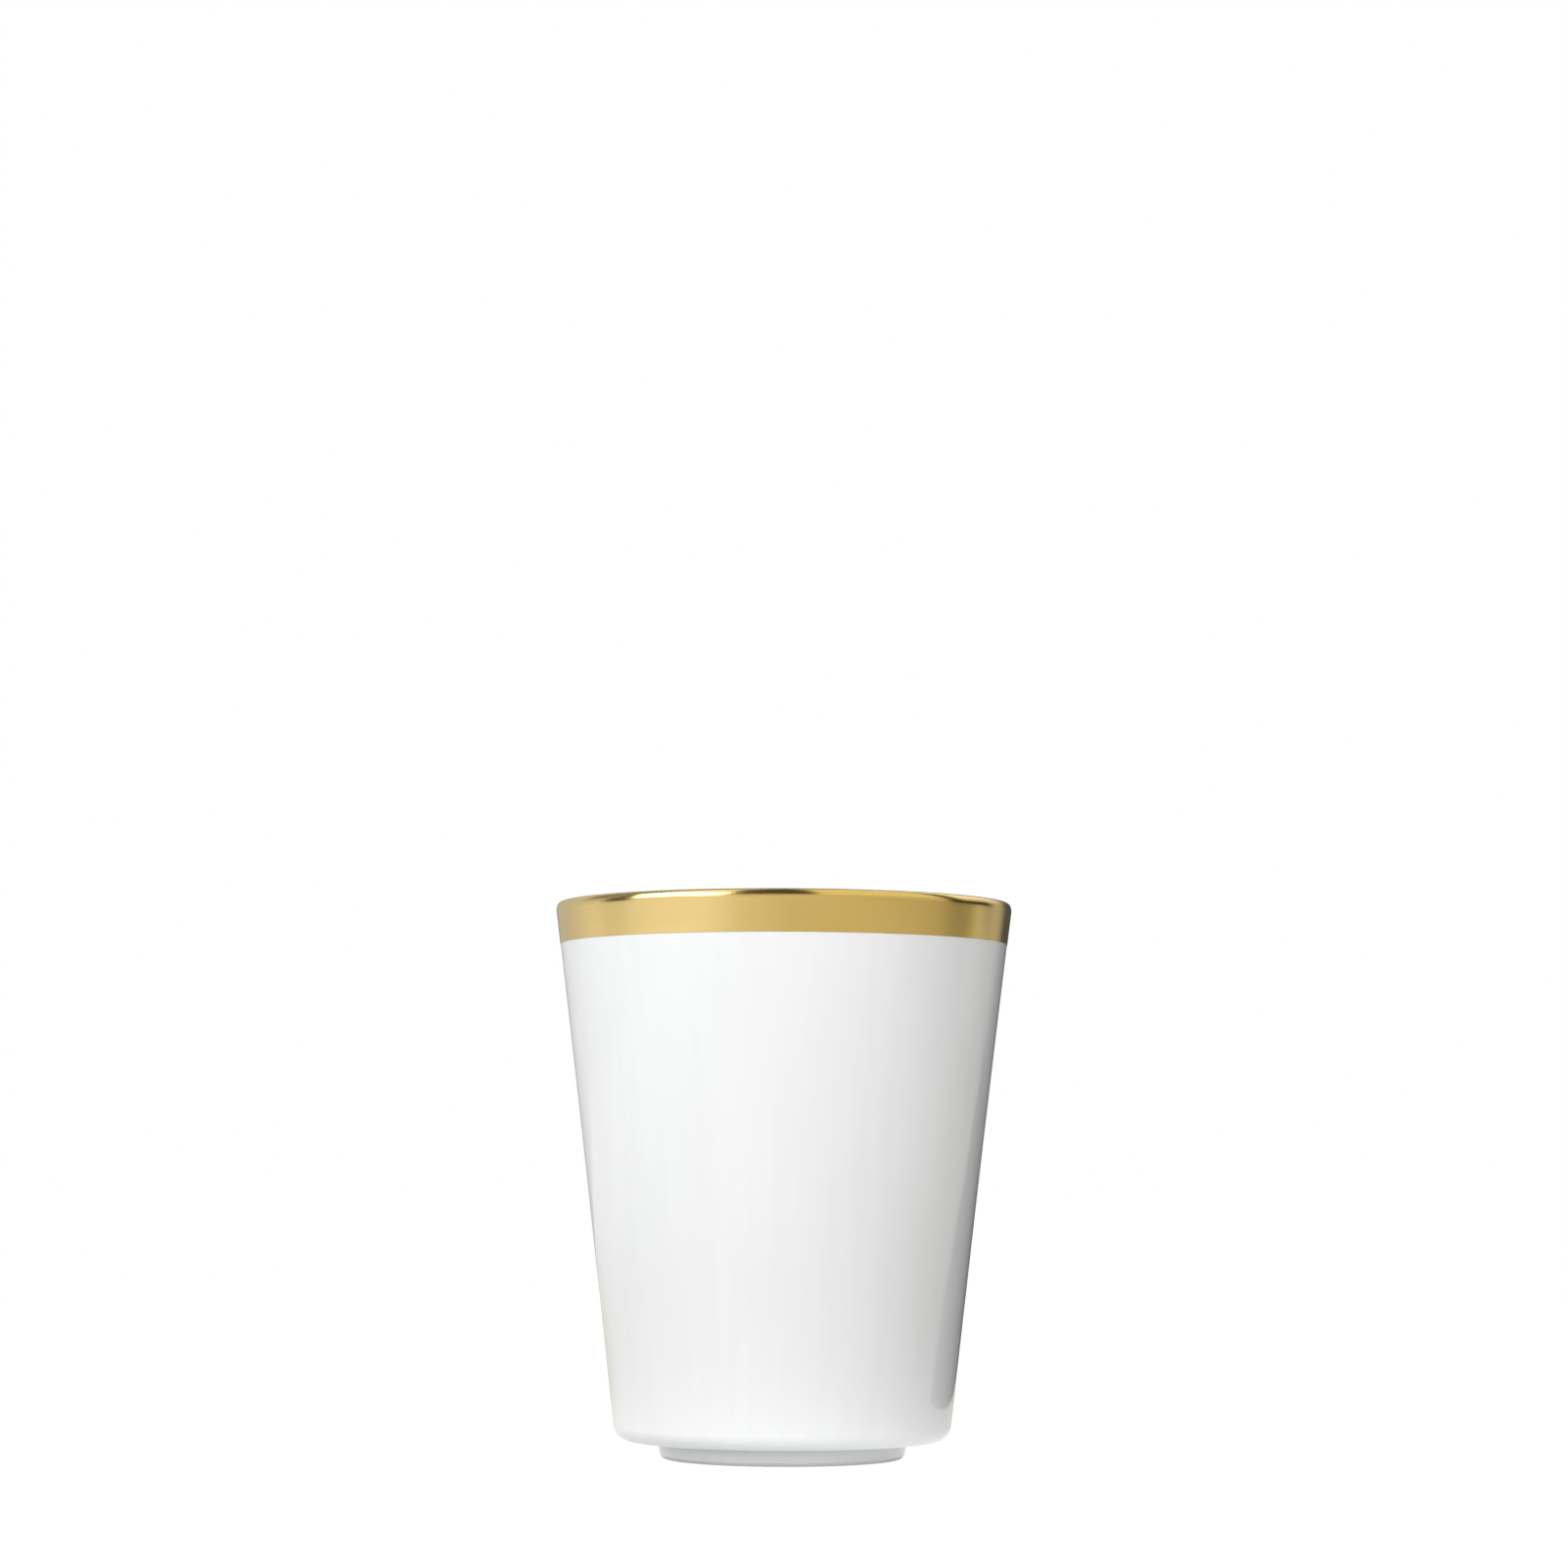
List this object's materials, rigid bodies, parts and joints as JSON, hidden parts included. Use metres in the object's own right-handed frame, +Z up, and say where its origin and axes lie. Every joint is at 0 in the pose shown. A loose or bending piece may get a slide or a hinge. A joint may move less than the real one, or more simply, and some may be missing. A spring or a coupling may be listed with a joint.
{
  "type": "vase",
  "caption": "Tapered porcelain vase, wider at its mouth, with a broad gold band over a rounded rim and a recessed foot ring.",
  "frame": {"origin": "middle of the foot ring's flat face, which the vase stands on", "axes": "+Z up along the vase's axis, from the foot to the mouth; the vase is the same all round, so X and Y are free"},
  "size_m": [0.1246, 0.1246, 0.15],
  "materials": {
    "bisque": "matte",
    "glaze": "gloss",
    "gold": "satin"
  },
  "bodies": {
    "root": {"porcelain_body": "bisque", "foot_ring": "bisque", "outer_glaze": "glaze", "recess_glaze": "glaze", "inner_glaze": "glaze", "gold_band": "gold", "gold_lip": "gold"}
  },
  "joints": []
}
